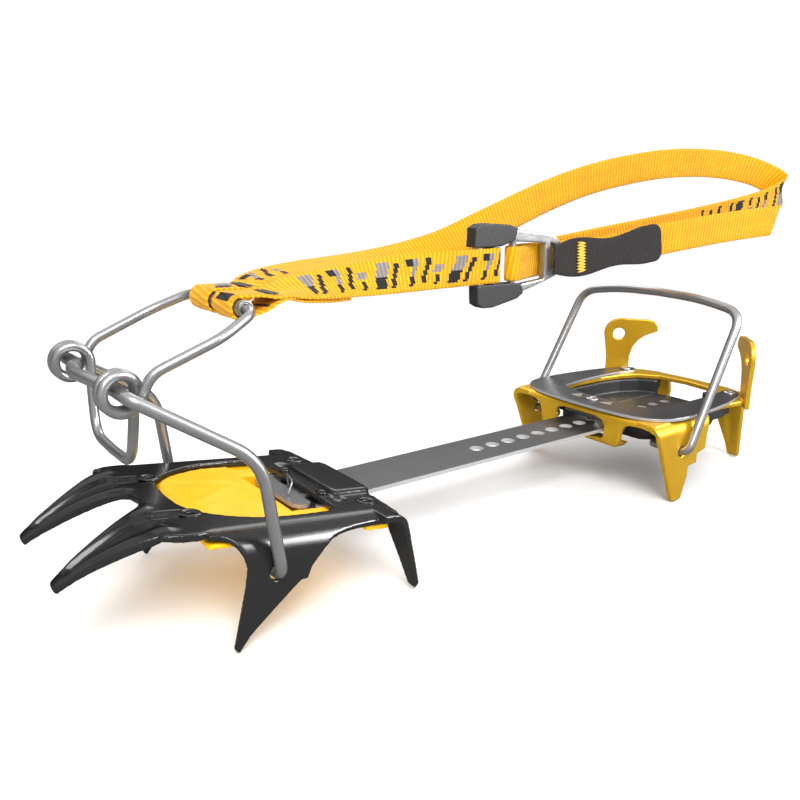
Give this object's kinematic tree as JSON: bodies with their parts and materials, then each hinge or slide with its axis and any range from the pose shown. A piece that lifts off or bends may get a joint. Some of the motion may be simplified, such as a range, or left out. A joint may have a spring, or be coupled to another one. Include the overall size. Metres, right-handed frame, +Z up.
{
  "type": "crampon",
  "caption": "Crampon with a black steel front plate, a linking bar, a gold heel frame, wire toe and heel bails and an ankle strap with buckle.",
  "frame": {"origin": "on the ground under the points, at the centre of the whole object's width and length", "axes": "+X to the side, +Y from toe to heel, +Z up"},
  "size_m": [0.1016, 0.4177, 0.1564],
  "materials": {
    "black_steel": "semi-gloss black coating, worn to steel at the edges",
    "yellow_plastic": "satin moulded sheet, softly creased",
    "dark_steel": "dark brushed sheet with bright cut edges",
    "bright_steel": "satin",
    "bar_steel": "dark brushed sheet with bright cut edges",
    "gold_alloy": "gold anodised, satin",
    "black_plastic": "matt moulded",
    "wire_steel": "drawn stainless wire, satin",
    "yellow_webbing": "ribbed woven webbing with black and grey woven blocks",
    "black_thread": "bar-tack thread",
    "cast_alloy": "satin cast",
    "black_rubber": "matt",
    "grey_webbing": "dense dark grey weave",
    "yellow_thread": "bar-tack thread"
  },
  "bodies": {
    "front_section": {"front_plate": "black_steel", "front_antiball_pad": "yellow_plastic", "front_eyelets": "black_steel", "bar_keeper": "dark_steel", "keeper_pins": "black_steel"},
    "release_lever": {"release_tab": "bright_steel", "release_spring": "bright_steel"},
    "bar": {"linking_bar": "bar_steel"},
    "heel_section": {"heel_frame": "gold_alloy", "heel_top_plate": "dark_steel", "heel_antiball_pad": "black_plastic", "bar_guide": "black_plastic", "heel_rivets": "bright_steel"},
    "adjuster": {"adjuster_pin": "bright_steel"},
    "heel_bail": {"heel_bail": "wire_steel"},
    "toe_bail": {"toe_bail": "wire_steel"},
    "toe_link": {"toe_link": "wire_steel", "strap_tube": "wire_steel"},
    "ankle_strap": {"short_strap": "yellow_webbing", "long_strap": "yellow_webbing", "strap_stitching": "black_thread", "buckle_frame": "cast_alloy", "buckle_sleeves": "black_rubber"},
    "pull_tab": {"pull_tab": "grey_webbing", "pull_tab_stitching": "yellow_thread"}
  },
  "joints": [
    {"name": "release_press", "type": "hinge", "parent": "front_section", "child": "release_lever", "pos_m": [0, -0.11441, 0.02927], "axis": [1, 0, 0], "range_deg": [0, 5]},
    {"name": "bar_rock", "type": "hinge", "parent": "front_section", "child": "bar", "pos_m": [0, -0.1147, 0.0277], "axis": [1, 0, 0], "range_deg": [-8, 2]},
    {"name": "heel_length", "type": "slide", "parent": "bar", "child": "heel_section", "axis": [0, 1, 0], "range_m": [-0.037, 0.00925]},
    {"name": "adjuster_lock", "type": "slide", "parent": "heel_section", "child": "adjuster", "axis": [0, 0, 1], "range_m": [-0.0018, 0]},
    {"name": "heel_bail_pivot", "type": "hinge", "parent": "heel_section", "child": "heel_bail", "pos_m": [0, 0.0533, 0.0234], "axis": [1, 0, 0], "range_deg": [-12, 32]},
    {"name": "toe_bail_pivot", "type": "hinge", "parent": "front_section", "child": "toe_bail", "pos_m": [0, -0.1475, 0.0232], "axis": [1, 0, 0], "range_deg": [-3, 26]},
    {"name": "toe_link_pivot", "type": "hinge", "parent": "toe_bail", "child": "toe_link", "pos_m": [0, -0.186, 0.0836], "axis": [1, 0, 0], "range_deg": [0, 45]},
    {"name": "strap_swing", "type": "hinge", "parent": "toe_link", "child": "ankle_strap", "pos_m": [0, -0.143, 0.1028], "axis": [1, 0, 0], "range_deg": [-2, 60]},
    {"name": "pull_tab_lift", "type": "hinge", "parent": "ankle_strap", "child": "pull_tab", "pos_m": [-0.0092, 0.0233, 0.1056], "axis": [0, 0, -1], "range_deg": [0, 60]}
  ]
}
